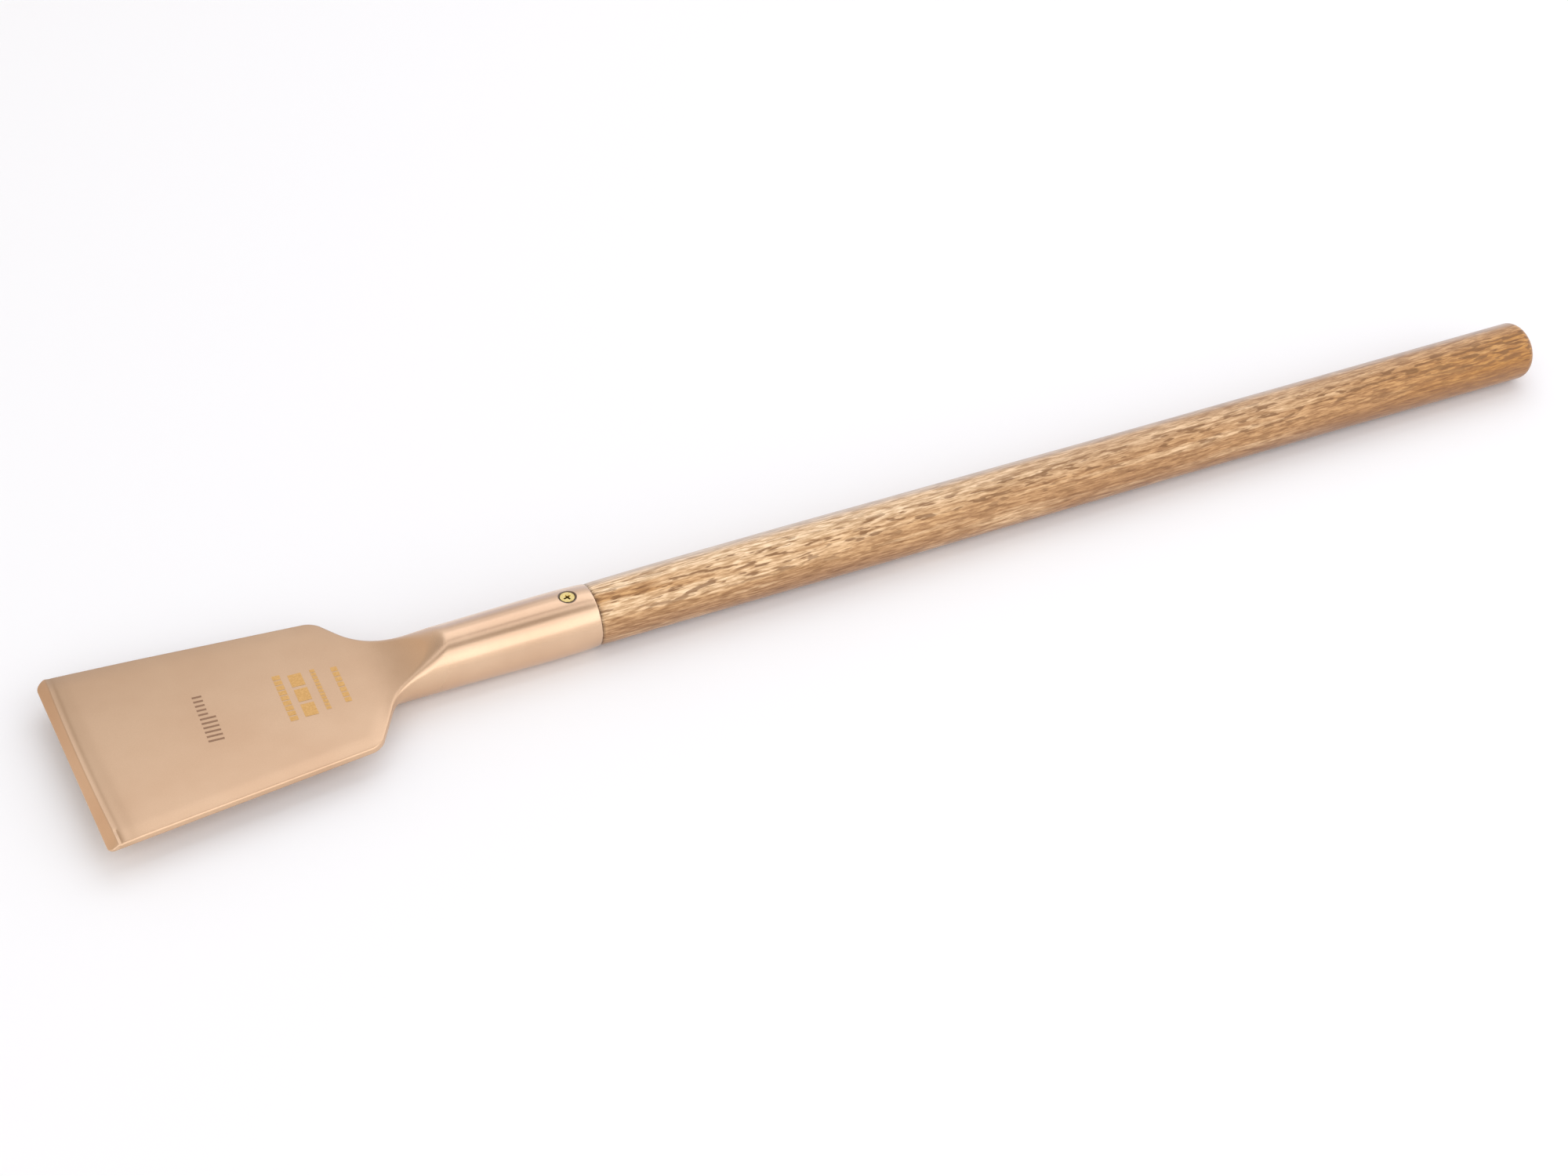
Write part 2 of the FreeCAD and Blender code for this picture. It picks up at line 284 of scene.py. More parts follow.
def bore_field(x, radial):
    """The tapered hole that the handle's tenon sits in, with its conical bottom."""
    run = (x - BORE_START) / (MOUTH - BORE_START)
    radius = BORE_END_RADIUS + run * (BORE_MOUTH_RADIUS - BORE_END_RADIUS)
    cone = BORE_END_RADIUS + BORE_BOTTOM_SPREAD * (x - BORE_START)
    return (radial - np.minimum(radius, cone)) * np.where(x < BORE_START, 0.5, 1.0)


def seat_field(x, y, z):
    """Countersink and clearance hole for the screw."""
    away = np.hypot(x - SCREW_X, y)
    surface = barrel_radius(SCREW_X)
    sink = (away - COUNTERSINK_RADIUS - (z - surface)) * math.sqrt(0.5)
    return np.maximum(np.minimum(sink, away - SCREW_HOLE_RADIUS), -z)


def head_field(x, y, z):
    """The whole scraper head."""
    radial = np.hypot(y, z)
    plate = both(outline_distance(x, y), UNDERSIDE - z, UNDERSIDE_ROUND)
    far_side = ramp(y, -HALVES_BLEND, HALVES_BLEND)
    blend = NEAR_NECK_BLEND + (FAR_NECK_BLEND - NEAR_NECK_BLEND) * far_side
    body = either(plate, barrel_field(x, radial), blend)
    climb = np.clip(x - SCOOP_START, 0, SCOOP_REACH)
    steepness = np.sqrt(SCOOP_RADIUS ** 2 - climb ** 2) / SCOOP_RADIUS
    ridge = RIDGE_ROUND + RIDGE_SOFTENING * ramp(x, *RIDGE_SPAN)
    body = both(body, (z - top_height(x, y)) * steepness, ridge)
    bevel = (z - bevel_height(x, y)) / BEVEL_STEEPNESS
    body = both(body, bevel, BEVEL_ROUND)
    body = both(body, -bore_field(x, radial), BORE_ROUND)
    return both(body, -seat_field(x, y, z), SEAT_ROUND)


# ---------------------------------------------------------------------------------------------
# Meshes
# ---------------------------------------------------------------------------------------------
def steps(*spans):
    """Grid positions through (start, end, spacing) spans that follow each other."""
    parts = [np.linspace(a, b, max(2, round((b - a) / d) + 1))[:-1] for a, b, d in spans]
    return np.concatenate(parts + [[spans[-1][1]]])


def surface_net(values, axes):
    """Vertices and outward quads of the zero surface of values on the grid of three axes."""
    cells = np.array(values.shape) - 1
    stride = np.array([cells[1] * cells[2], cells[2], 1])
    sums = np.zeros((int(cells.prod()), 3))
    counts = np.zeros(int(cells.prod()))
    quads = []
    for axis in range(3):
        low = values.take(range(values.shape[axis] - 1), axis)
        high = values.take(range(1, values.shape[axis]), axis)
        edge = np.argwhere((low < 0) != (high < 0))
        at = tuple(edge.T)
        share = low[at] / (low[at] - high[at])
        point = np.stack([axes[k][edge[:, k]] for k in range(3)], 1)
        line = axes[axis]
        point[:, axis] += share * (line[edge[:, axis] + 1] - line[edge[:, axis]])
        second, third = (axis + 1) % 3, (axis + 2) % 3
        around = []
        for back_second, back_third in ((1, 1), (0, 1), (0, 0), (1, 0)):
            cell = edge.copy()
            cell[:, second] -= back_second
            cell[:, third] -= back_third
            number = cell @ stride
            around.append(number)
            for k in range(3):
                sums[:, k] += np.bincount(number, point[:, k], len(counts))
            counts += np.bincount(number, minlength=len(counts))
        ring = np.stack(around, 1)
        flip = low[at] >= 0
        ring[flip] = ring[flip][:, ::-1]
        quads.append(ring)
    used = np.nonzero(counts)[0]
    index = np.zeros(len(counts), int)
    index[used] = np.arange(len(used))
    return sums[used] / counts[used, None], index[np.concatenate(quads)]


def settled(points, field, rounds=5, step=0.01):
    """Points moved onto the field's zero surface."""
    for _ in range(rounds):
        value = field(*points.T)
        slope = np.zeros_like(points)
        for k in range(3):
            shift = np.zeros(3)
            shift[k] = step
            slope[:, k] = (field(*(points + shift).T) - field(*(points - shift).T)) / (2 * step)
        move = value / np.maximum((slope ** 2).sum(1), 0.3)
        points = points - slope * np.clip(move, -0.4, 0.4)[:, None]
    return points


def new_mesh(name, points, faces, sharp_angle=40):
    """A smooth-shaded object in the row frame from tool-frame millimetres."""
    mesh = bpy.data.meshes.new(name)
    mesh.from_pydata(to_row(points).tolist(), [], [list(f) for f in faces])
    mesh.validate()
    mesh.update()
    mesh.shade_smooth()
    mesh.set_sharp_from_angle(angle=math.radians(sharp_angle))
    piece = bpy.data.objects.new(name, mesh)
    bpy.context.scene.collection.objects.link(piece)
    return piece


def blade_marks(name, bars, turn, material):
    """Thin plain bars on the blade's upper face, each (x start, x end, y start, y end)."""
    middle_x = sum(start + end for start, end, _, _ in bars) / (2 * len(bars))
    turn = math.radians(turn)
    points, faces = [], []
    for start, end, low, high in bars:
        columns = max(2, round((high - low) / MARK_SPACING) + 1)
        first = len(points)
        for y in np.linspace(low, high, columns):
            for x in (start, end):
                away = x - middle_x
                turned_x = middle_x + away * math.cos(turn) + y * math.sin(turn)
                turned_y = y * math.cos(turn) - away * math.sin(turn)
                points.append((turned_x, turned_y, top_height(turned_x, turned_y) + MARK_HEIGHT))
        for k in range(columns - 1):
            a = first + 2 * k
            faces.append((a, a + 1, a + 3, a + 2))
    piece = new_mesh(name, points, faces)
    piece.data.materials.append(material)
    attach(piece, "root")
    return piece


def etched_scale():
    """A plain row of ticks, the long ones first."""
    bars = []
    for k in range(TICK_COUNT):
        y = TICK_FIRST + TICK_PITCH * k
        length = TICK_LONG if k < LONG_TICKS else TICK_SHORT
        bars.append((TICK_START, TICK_START + length, y, y + TICK_WIDTH))
    return bars


def printed_rows():
    """Four rows of plain dashes, from each row's (x start, x end, half width, dashes)."""
    bars = []
    for start, end, half, count in PRINT_ROWS:
        pitch = 2 * half / count
        for k in range(count):
            y = -half + pitch * k
            bars.append((start, end, y, y + DASH_SHARE * pitch))
    return bars


def make_head():
    xs = steps((-0.9, 8, 0.3), (8, 104, 0.9), (104, 152, 0.6), (152, 200.5, 0.9),
               (200.5, 211, 0.3), (211, 216.6, 0.35))
    ys = steps((-51, -4.5, 0.7), (-4.5, 4.5, 0.3), (4.5, 51, 0.7))
    zs = steps((-14.2, -1.6, 0.6), (-1.6, 2.8, 0.22), (2.8, 10.6, 0.6), (10.6, 14.2, 0.3))
    grid = np.meshgrid(xs, ys, zs, indexing="ij")
    points, quads = surface_net(head_field(*grid), (xs, ys, zs))
    return new_mesh("scraper_head_forging", settled(points, head_field), quads)


def lathe(profile, around, wobble):
    """A turned piece about the X axis from (x, radius) points, closed at both ends."""
    points = []
    angles = np.linspace(0, 2 * math.pi, around, endpoint=False)
    for x, radius in profile[1:-1]:
        rings = radius + wobble(x, angles)
        points += list(zip(np.full(around, x), rings * np.cos(angles), rings * np.sin(angles)))
    rows = len(profile) - 2
    start = len(points)
    points += [(profile[0][0], 0, 0), (profile[-1][0], 0, 0)]
    faces = []
    for row in range(rows - 1):
        for k in range(around):
            a, b = row * around + k, row * around + (k + 1) % around
            faces.append((a, b, b + around, a + around))
    for k in range(around):
        faces.append((start, (k + 1) % around, k))
        last = (rows - 1) * around
        faces.append((start + 1, last + k, last + (k + 1) % around))
    return points, faces


def handle_profile():
    """The handle's tenon, eased shoulder, long straight grip and domed end."""
    tenon_end = BORE_START + TENON_END_GAP
    point = tenon_end - TENON_CONE_LENGTH
    neck = BORE_MOUTH_RADIUS - TENON_CLEARANCE
    shoulder = MOUTH + HANDLE_GAP
    rim = HANDLE_RADIUS - EASING_DROP
    profile = [(point, 0), (point, TENON_POINT_RADIUS)]
    profile += [(tenon_end, BORE_END_RADIUS - TENON_CLEARANCE)]
    profile += [(MOUTH, neck), (shoulder, neck), (shoulder, rim)]
    for t in np.linspace(0.08, 1, 12):
        rise = EASING_DROP * math.sqrt(1 - (1 - t) ** 2)
        profile.append((shoulder + EASING_LENGTH * t, rim + rise))
    start = shoulder + EASING_LENGTH
    end = HANDLE_END - DOME_HEIGHT
    profile += [(x, HANDLE_RADIUS) for x in np.linspace(start, end, 240)[1:]]
    for angle in np.linspace(0, math.pi / 2, 22)[1:-1]:
        profile.append((end + DOME_HEIGHT * math.sin(angle), HANDLE_RADIUS * math.cos(angle)))
    profile.append((HANDLE_END, 0))
    return profile


def hand_turned(x, angle):
    """The turned grip's slow swelling and its small unevenness, none at the shoulder."""
    swell = SWELL_MEAN + SWELL_DEPTH * math.cos((x - SWELL_MIDDLE) / SWELL_PITCH)
    ripple = UNEVENNESS * np.sin(x / 17 + 2 * angle) + UNEVENNESS * np.sin(3 * angle + x / 60)
    return ramp(x, MOUTH + 4, MOUTH + 30) * (swell + ripple)


def make_handle():
    points, faces = lathe(handle_profile(), 96, hand_turned)
    points = np.array(points)
    x = points[:, 0]
    bow = NEAR_BOW * ramp(x, 219, 245) * (1 - ramp(x, 290, 360)) - FAR_BOW * ramp(x, 540, 690)
    points[:, 1] += PAINTED_LIGHT_SIDE[0] * bow
    points[:, 2] += PAINTED_LIGHT_SIDE[1] * bow
    return new_mesh("wooden_handle", points, faces, 35)


# ---------------------------------------------------------------------------------------------
# Materials
# ---------------------------------------------------------------------------------------------
def new_material(name):
    """An empty node material, its tree and its Principled shader."""
    material = bpy.data.materials.new(name)
    material.use_nodes = True
    tree = material.node_tree
    tree.nodes.clear()
    output = tree.nodes.new("ShaderNodeOutputMaterial")
    shader = tree.nodes.new("ShaderNodeBsdfPrincipled")
    tree.links.new(shader.outputs[0], output.inputs[0])
    return material, tree, shader


def node(tree, kind, **settings):
    made = tree.nodes.new(kind)
    for key, value in settings.items():
        setattr(made, key, value)
    return made


def warped_place(tree, size, reach):
    """The piece's own coordinates, pushed about by a coarse noise."""
    place = node(tree, "ShaderNodeTexCoord")
    noise = node(tree, "ShaderNodeTexNoise")
    noise.inputs["Scale"].default_value = size
    noise.inputs["Detail"].default_value = 2.0
    tree.links.new(place.outputs["Object"], noise.inputs["Vector"])
    push = node(tree, "ShaderNodeVectorMath", operation="MULTIPLY_ADD")
    push.inputs[1].default_value = (0, 2 * reach, 2 * reach)
    push.inputs[2].default_value = (0, -reach, -reach)
    tree.links.new(noise.outputs["Color"], push.inputs[0])
    moved = node(tree, "ShaderNodeVectorMath", operation="ADD")
    tree.links.new(place.outputs["Object"], moved.inputs[0])
    tree.links.new(push.outputs[0], moved.inputs[1])
    return moved.outputs[0]


def stretched_noise(tree, scale, size, detail=2.0, roughness=0.5, offset=(0, 0, 0), place=None):
    """Noise over the piece's own coordinates, stretched by the three scale factors."""
    if place is None:
        place = node(tree, "ShaderNodeTexCoord").outputs["Object"]
    mapping = node(tree, "ShaderNodeMapping")
    mapping.inputs["Scale"].default_value = scale
    mapping.inputs["Location"].default_value = offset
    noise = node(tree, "ShaderNodeTexNoise")
    noise.inputs["Scale"].default_value = size
    noise.inputs["Detail"].default_value = detail
    noise.inputs["Roughness"].default_value = roughness
    tree.links.new(place, mapping.inputs["Vector"])
    tree.links.new(mapping.outputs["Vector"], noise.inputs["Vector"])
    return noise.outputs["Fac"]


def measured(tree, direction, start=0.0):
    """How far the shaded point lies along a row-frame direction, less start."""
    place = node(tree, "ShaderNodeTexCoord")
    dot = node(tree, "ShaderNodeVectorMath", operation="DOT_PRODUCT")
    dot.inputs[1].default_value = direction
    tree.links.new(place.outputs["Object"], dot.inputs[0])
    return added(tree, dot.outputs["Value"], -start)


def screw_distance(tree):
    """Distance of the shaded point from the screw's axis, in millimetres."""
    place = node(tree, "ShaderNodeTexCoord")
    flat = node(tree, "ShaderNodeVectorMath", operation="MULTIPLY")
    flat.inputs[1].default_value = (1 / MM, 1 / MM, 0)
    tree.links.new(place.outputs["Object"], flat.inputs[0])
    away = node(tree, "ShaderNodeVectorMath", operation="DISTANCE")
    away.inputs[1].default_value = ((EDGE_X / MM) + SCREW_X, 0, 0)
    tree.links.new(flat.outputs[0], away.inputs[0])
    return away.outputs["Value"]


def mapped(tree, value, low, high, to_low, to_high):
    """value between low and high rescaled to to_low and to_high, clamped."""
    made = node(tree, "ShaderNodeMapRange")
    tree.links.new(value, made.inputs["Value"])
    made.inputs["From Min"].default_value = low
    made.inputs["From Max"].default_value = high
    made.inputs["To Min"].default_value = to_low
    made.inputs["To Max"].default_value = to_high
    return made.outputs["Result"]


def mixed(tree, share, first, second, blend="MIX"):
    """Colour between first and second, or first times second; each is a colour or a socket."""
    made = node(tree, "ShaderNodeMix", data_type="RGBA", blend_type=blend)
    tree.links.new(share, made.inputs["Factor"])
    for socket, colour in ((made.inputs[6], first), (made.inputs[7], second)):
        if isinstance(colour, tuple):
            socket.default_value = (*colour, 1)
        else:
            tree.links.new(colour, socket)
    return made.outputs[2]


def added(tree, first, second, operation="ADD"):
    made = node(tree, "ShaderNodeMath", operation=operation)
    for socket, value in ((made.inputs[0], first), (made.inputs[1], second)):
        if isinstance(value, (int, float)):
            socket.default_value = value
        else:
            tree.links.new(value, socket)
    return made.outputs[0]


def product(tree, first, second):
    return added(tree, first, second, "MULTIPLY")


def scaled(tree, colour, factor):
    """Colour made lighter or darker by a factor."""
    made = node(tree, "ShaderNodeVectorMath", operation="SCALE")
    tree.links.new(colour, made.inputs[0])
    tree.links.new(factor, made.inputs["Scale"])
    return made.outputs[0]


def bumped(tree, shader, height, distance, strength=1.0):
    bump = node(tree, "ShaderNodeBump")
    bump.inputs["Distance"].default_value = distance
    bump.inputs["Strength"].default_value = strength
    tree.links.new(height, bump.inputs["Height"])
    tree.links.new(bump.outputs["Normal"], shader.inputs["Normal"])


def copper_alloy():
    """Rose-gold copper alloy with a fine satin finish, painted shade on the blade and a painted
    shadow ring round the screw.
    """
    material, tree, shader = new_material("satin_copper_alloy")
    cloud = stretched_noise(tree, (1, 1, 1), 28, 3.0, 0.55)
    grain = stretched_noise(tree, (1, 1, 1), 2600, 2.0, 0.6)
    brushed = stretched_noise(tree, (0.05, 1, 1), 1500, 2.0, 0.6)
    tone = mapped(tree, cloud, 0.35, 0.65, 0, 1)
    colour = mixed(tree, tone, COPPER_DARK, COPPER_LIGHT)
    along = measured(tree, (1, 0, 0), EDGE_X)
    # Painted shade: the blade is coloured darker towards its far side, and in a band over the
    # hollow just behind the bevel, fading out before the socket.
    across = mapped(tree, measured(tree, (0, 1, 0)), -0.045, 0.045, 0.05, 0.40)
    front = product(tree, mapped(tree, along, 0.0040, 0.0052, 0, 0.22),
                    mapped(tree, along, 0.0060, 0.0125, 1, 0))
    painted_shade = added(tree, across, front)
    painted_shade = product(tree, painted_shade, mapped(tree, along, 0.115, 0.150, 1, 0))
    colour = mixed(tree, painted_shade, colour, COPPER_PAINTED_SHADE)
    fine = mapped(tree, grain, 0.3, 0.7, 0, 0.10)
    colour = mixed(tree, fine, colour, COPPER_GRAIN)
    # Painted shadow: the countersink round the screw is coloured almost black on the socket's
    # upper side, and made a little rougher there.
    inside = mapped(tree, screw_distance(tree), 3.7, 4.1, 1, 0)
    above = mapped(tree, measured(tree, (0, 0, 1), AXIS_Z), 0.008, 0.009, 0, 1)
    countersink_shade = product(tree, inside, above)
    colour = mixed(tree, product(tree, countersink_shade, 0.85), colour, COUNTERSINK_PAINTED_SHADE)
    tree.links.new(colour, shader.inputs["Base Color"])
    shader.inputs["Metallic"].default_value = 1.0
    blade_end, socket_start = 0.125, 0.155
    polish = mapped(tree, along, blade_end, socket_start, 0.39, 0.24)
    rough = added(tree, polish, mapped(tree, cloud, 0.3, 0.7, -0.03, 0.03))
    rough = added(tree, rough, product(tree, countersink_shade, 0.3))
    tree.links.new(rough, shader.inputs["Roughness"])
    coat = mapped(tree, along, blade_end, socket_start, 0.24, 0.6)
    tree.links.new(coat, shader.inputs["Coat Weight"])
    shader.inputs["Coat IOR"].default_value = 1.7
    shader.inputs["Coat Roughness"].default_value = 0.2
    bumped(tree, shader, added(tree, grain, brushed), 0.00002, 0.6)
    return material


def wood_zones(tree, side, along):
    """The wood's broad colours: painted light on one side and painted shade below, a deeper tone
    further along, an amber far end.
    """
    # Painted light and shade: a shaded copy of the wood's tone towards the underside, the plain
    # tone, and a lit copy on the upper far side and on a band facing the camera near the socket.
    colour = mixed(tree, mapped(tree, side, -0.95, -0.2, 0, 1), WOOD_SHADED, WOOD_PLAIN)
    painted_light = product(tree, mapped(tree, side, 0.0, 0.55, 0, 1),
                   mapped(tree, along, 0.36, 0.62, 1, 0.45))
    painted_light_band = product(tree, mapped(tree, side, -0.4, -0.15, 0, 0.6),
                   mapped(tree, side, 0.05, 0.2, 1, 0))
    painted_light_band = product(tree, painted_light_band, mapped(tree, along, 0.28, 0.35, 1, 0))
    colour = mixed(tree, added(tree, painted_light, painted_light_band, "MAXIMUM"), colour, WOOD_PAINTED_LIGHT)
    colour = mixed(tree, mapped(tree, along, 0.30, 0.46, 0, 0.4), colour, WOOD_DEEP)
    far_end = product(tree, mapped(tree, along, 0.56, 0.67, 0, 0.85),
                      mapped(tree, side, 0.3, 0.9, 1, 0.3))
    patch = product(tree, mapped(tree, along, 0.24, 0.28, 0.6, 0),
                    mapped(tree, side, 0.05, 0.15, 0, 1))
    patch = product(tree, patch, mapped(tree, side, 0.45, 0.60, 1, 0))
    return mixed(tree, added(tree, far_end, patch, "MAXIMUM"), colour, WOOD_AMBER)


def stained(tree, colour, noise, low, high, shade, stain):
    """Colour darkened and stained where the noise is low, and lightened where it is high."""
    colour = scaled(tree, colour, mapped(tree, noise, low, high, *shade))
    return mixed(tree, mapped(tree, noise, low, high, 1, 0), colour, stain, "MULTIPLY")


def wood_flecks(tree, place, side, along):
    """Where the short dark flecks lie: in a band along the middle, thicker at the far end."""
    fleck = stretched_noise(tree, (0.17, 1, 1), 620, 2.0, 0.5, (11, 5, 2), place)
    rows = product(tree, mapped(tree, side, -0.6, 0.0, 0.2, 1),
                   mapped(tree, side, 0.5, 0.8, 1, 0.2))
    fleck = added(tree, fleck, mapped(tree, along, 0.56, 0.66, 0, 0.055))
    return product(tree, mapped(tree, fleck, 0.54, 0.61, 0, 0.8), rows)


def oiled_wood():
    """Turned hardwood: wavy ripples, short dark flecks, painted light on one side, painted shade
    underneath, a painted sheen on the upper rim and a warmer far end.
    """
    material, tree, shader = new_material("turned_hardwood")
    place = warped_place(tree, 45, 0.0006)
    broad = stretched_noise(tree, (0.10, 1, 1), 90, 3.0, 0.6, (0, 0, 0), place)
    ripple = stretched_noise(tree, (0.13, 1, 1), 850, 3.0, 0.65, (3, 1, 7), place)
    streak = stretched_noise(tree, (0.05, 1, 1), 260, 2.0, 0.5, (4, 6, 2), place)
    pores = stretched_noise(tree, (0.11, 1, 1), 1150, 2.0, 0.6, (7, 2, 9), place)
    fibre = stretched_noise(tree, (0.04, 1, 1), 2200, 2.0, 0.6, (1, 8, 3))
    # Painted light: facing measures how far a point faces the lit side; side is that, pushed about
    # by a broad noise.
    up = 1 / (HANDLE_RADIUS * MM)
    painted_light_way = (0, PAINTED_LIGHT_SIDE[0] * up, PAINTED_LIGHT_SIDE[1] * up)
    facing = measured(tree, painted_light_way, AXIS_Z * PAINTED_LIGHT_SIDE[1] * up)
    side = added(tree, facing, mapped(tree, broad, 0.3, 0.7, -0.25, 0.25))
    along = measured(tree, (1, 0, 0), EDGE_X)
    colour = wood_zones(tree, side, along)
    light = product(tree, mapped(tree, streak, 0.52, 0.66, 0, 0.6),
                    mapped(tree, along, 0.5, 0.62, 1, 0.2))
    colour = mixed(tree, light, colour, WOOD_STREAK)
    colour = stained(tree, colour, ripple, 0.36, 0.60, (0.80, 1.15), RIPPLE_STAIN)
    colour = stained(tree, colour, pores, 0.38, 0.56, (0.80, 1.16), PORE_STAIN)
    # Painted shade: the underside is coloured darker further along the handle.
    underside_shade = product(tree, mapped(tree, side, -1.0, -0.5, 0.55, 0),
                    mapped(tree, along, 0.42, 0.56, 0, 1))
    colour = mixed(tree, underside_shade, colour, WOOD_PAINTED_UNDERSIDE_SHADE)
    dark = wood_flecks(tree, place, side, along)
    colour = mixed(tree, dark, colour, WOOD_FLECK)
    colour = mixed(tree, mapped(tree, fibre, 0.4, 0.75, 0, 0.22), colour, WOOD_FIBRE)
    # Painted sheen: a pale grey grazing reflection painted along the upper rim.
    colour = mixed(tree, mapped(tree, facing, 0.80, 0.98, 0, 0.6), colour, WOOD_PAINTED_SHEEN)
    mouth = MOUTH * MM
    joint = mapped(tree, along, mouth + 0.0002, mouth + 0.0014, 0.55, 1)
    colour = scaled(tree, colour, joint)
    tree.links.new(colour, shader.inputs["Base Color"])
    tree.links.new(mapped(tree, fibre, 0.3, 0.7, 0.44, 0.58), shader.inputs["Roughness"])
    shader.inputs["Specular IOR Level"].default_value = 0.5
    shader.inputs["Sheen Weight"].default_value = 0.25
    shader.inputs["Sheen Roughness"].default_value = 0.4
    height = added(tree, fibre, product(tree, dark, -0.6))
    bumped(tree, shader, height, 0.00012, 0.5)
    return material


def screw_brass():
    """Bright yellow brass with painted shade at the bottom of the cross recess."""
    material, tree, shader = new_material("yellow_brass")
    stain = stretched_noise(tree, (1, 1, 1), 900, 3.0, 0.6)
    tone = mapped(tree, stain, 0.35, 0.65, 0, 1)
    colour = mixed(tree, tone, SCREW_BRASS_DARK, SCREW_BRASS_LIGHT)
    # Painted shade: the screw head is coloured dark olive below its top face, at the bottom of the
    # cross recess.
    depth = measured(tree, (0, 0, 1), SCREW_HIGH.z)
    recess_shade = mapped(tree, depth, -0.0009, -0.0001, 0.8, 0)
    colour = mixed(tree, recess_shade, colour, RECESS_PAINTED_SHADE)
    tree.links.new(colour, shader.inputs["Base Color"])
    shader.inputs["Metallic"].default_value = 1.0
    tree.links.new(mapped(tree, stain, 0.3, 0.7, 0.22, 0.34), shader.inputs["Roughness"])
    bumped(tree, shader, stain, 0.00003, 0.4)
    return material


def mark_material(name, dark, light, roughness):
    """A worn thin layer on the blade: gold print, or the matt bottom of an etched stroke."""
    material, tree, shader = new_material(name)
    wear = stretched_noise(tree, (1, 1, 1), 1200, 3.0, 0.6)
    colour = mixed(tree, mapped(tree, wear, 0.35, 0.65, 0, 1), dark, light)
    tree.links.new(colour, shader.inputs["Base Color"])
    shader.inputs["Metallic"].default_value = 1.0
    tree.links.new(mapped(tree, wear, 0.3, 0.7, roughness - 0.05, roughness + 0.05),
                   shader.inputs["Roughness"])
    bumped(tree, shader, wear, 0.00002, 0.5)
    return material


# ---------------------------------------------------------------------------------------------
# Floor, light and camera
# ---------------------------------------------------------------------------------------------
def pale_floor():
    side = 6.0
    mesh = bpy.data.meshes.new("studio_floor")
    corners = [(-side, -side, 0), (side, -side, 0), (side, side, 0), (-side, side, 0)]
    mesh.from_pydata(corners, [], [(0, 1, 2, 3)])
    floor = bpy.data.objects.new("studio_floor", mesh)
    bpy.context.scene.collection.objects.link(floor)
    material, tree, shader = new_material("pale_floor")
    shader.inputs["Base Color"].default_value = (0.91, 0.91, 0.91, 1)
    shader.inputs["Roughness"].default_value = 0.9
    mesh.materials.append(material)


def softbox(name, start, end, radiance, left, right):
    """Panel from left to right over the tool, spanning two angles from straight up across it."""
    middle = math.radians(start + end) / 2
    width = 2 * PANEL_DISTANCE * math.tan(math.radians(end - start) / 2)
    direction = Vector((0, math.sin(middle), math.cos(middle)))
    light = bpy.data.lights.new(name, "AREA")
    light.shape = "RECTANGLE"
    light.size = right - left
    light.size_y = width
    light.energy = radiance * math.pi * (right - left) * width
    light.color = PANEL_COLOUR
    lamp = bpy.data.objects.new(name, light)
    lamp.matrix_world = Matrix.Rotation(-middle, 4, "X")
    lamp.location = Vector(((left + right) / 2, 0, AXIS_Z)) + direction * PANEL_DISTANCE
    bpy.context.scene.collection.objects.link(lamp)


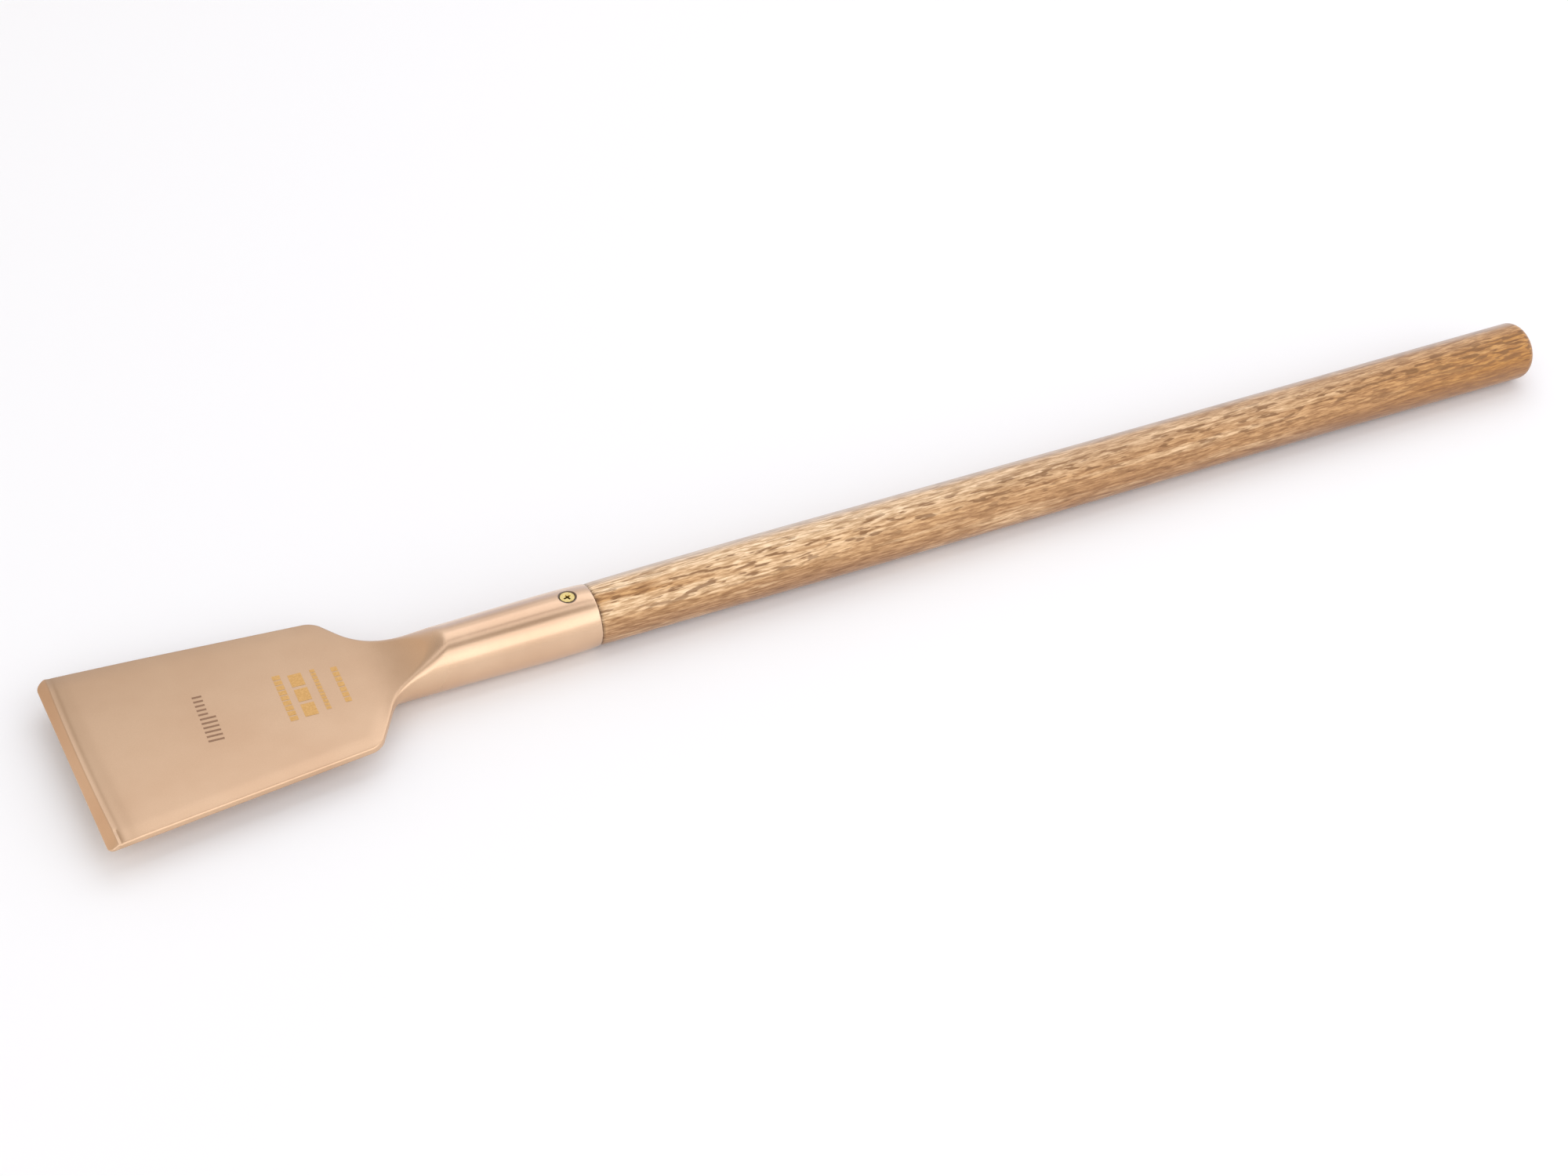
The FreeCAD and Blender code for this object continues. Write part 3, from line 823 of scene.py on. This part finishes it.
def studio_world():
    """Pale surroundings: cool behind the tool, bright in front, warm to the left, dim overhead."""
    world = bpy.data.worlds.new("studio")
    world.use_nodes = True
    tree = world.node_tree
    place = node(tree, "ShaderNodeTexCoord")
    split = node(tree, "ShaderNodeSeparateXYZ")
    tree.links.new(place.outputs["Generated"], split.inputs[0])
    behind = mapped(tree, split.outputs["Y"], -0.5, 0.5, 0, 1)
    left = mapped(tree, split.outputs["X"], -0.5, 0.0, 1, 0)
    low = mapped(tree, split.outputs["Z"], 0.15, 0.55, 1, 0)
    back = mixed(tree, low, (0.80, 0.79, 0.80), (0.80, 0.86, 1.05))
    warm = mixed(tree, low, (0.76, 0.65, 0.54), (0.96, 0.82, 0.72))
    back = mixed(tree, left, back, warm)
    colour = mixed(tree, behind, (1.13, 1.12, 1.12), back)
    overhead = mapped(tree, split.outputs["Z"], 0.6, 0.95, 0, 1)
    colour = mixed(tree, overhead, colour, (0.50, 0.47, 0.45))
    background = tree.nodes["Background"]
    tree.links.new(colour, background.inputs["Color"])
    background.inputs["Strength"].default_value = 1.0
    bpy.context.scene.world = world


def studio_light():
    studio_world()
    softbox("back_softbox", 41, 56, 0.30, -0.25, 2.4)
    softbox("far_softbox", 9, 41, 0.87, -0.25, 2.4)
    softbox("top_softbox", -10, 4, 0.70, -1.7, 2.3)
    softbox("near_softbox", -74, -27, 0.70, -1.7, 2.3)


def photo_camera():
    """Long-lens camera above and in front of the blade, a little rolled."""
    data = bpy.data.cameras.new("camera")
    data.sensor_width = 36.0
    data.lens = CAMERA_LENS
    camera = bpy.data.objects.new("camera", data)
    bpy.context.scene.collection.objects.link(camera)
    level, turn = math.cos(CAMERA_ELEVATION), CAMERA_TURN
    forward = Vector((level * math.sin(turn), level * math.cos(turn), -math.sin(CAMERA_ELEVATION)))
    right = Vector((math.cos(turn), -math.sin(turn), 0))
    upward = right.cross(forward)
    rolled_right = right * math.cos(CAMERA_ROLL) + upward * math.sin(CAMERA_ROLL)
    rolled_up = upward * math.cos(CAMERA_ROLL) - right * math.sin(CAMERA_ROLL)
    place = CAMERA_AIM - forward * CAMERA_DISTANCE
    axes = Matrix((rolled_right, rolled_up, -forward)).transposed()
    camera.matrix_world = Matrix.Translation(place) @ axes.to_4x4()
    bpy.context.scene.camera = camera


# ---------------------------------------------------------------------------------------------
# The scene
# ---------------------------------------------------------------------------------------------
copper = copper_alloy()
wood = oiled_wood()
brass = screw_brass()

head = make_head()
head.data.materials.append(copper)
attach(head, "root")
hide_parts("scraper_head")

grip = make_handle()
grip.data.materials.append(wood)
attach(grip, "root")
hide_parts("handle")

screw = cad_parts["retaining_screw"]
screw.material_slots[0].material = brass

etching = mark_material("etched_stroke", linear(152, 120, 96), linear(166, 132, 106), 0.50)
gold = mark_material("gold_print", linear(206, 160, 98), linear(222, 178, 116), 0.42)
blade_marks("etched_ticks", etched_scale(), TICKS_TURN, etching)
blade_marks("printed_dashes", printed_rows(), PRINT_TURN, gold)

pale_floor()
studio_light()
photo_camera()
bpy.context.scene.view_settings.view_transform = "Standard"
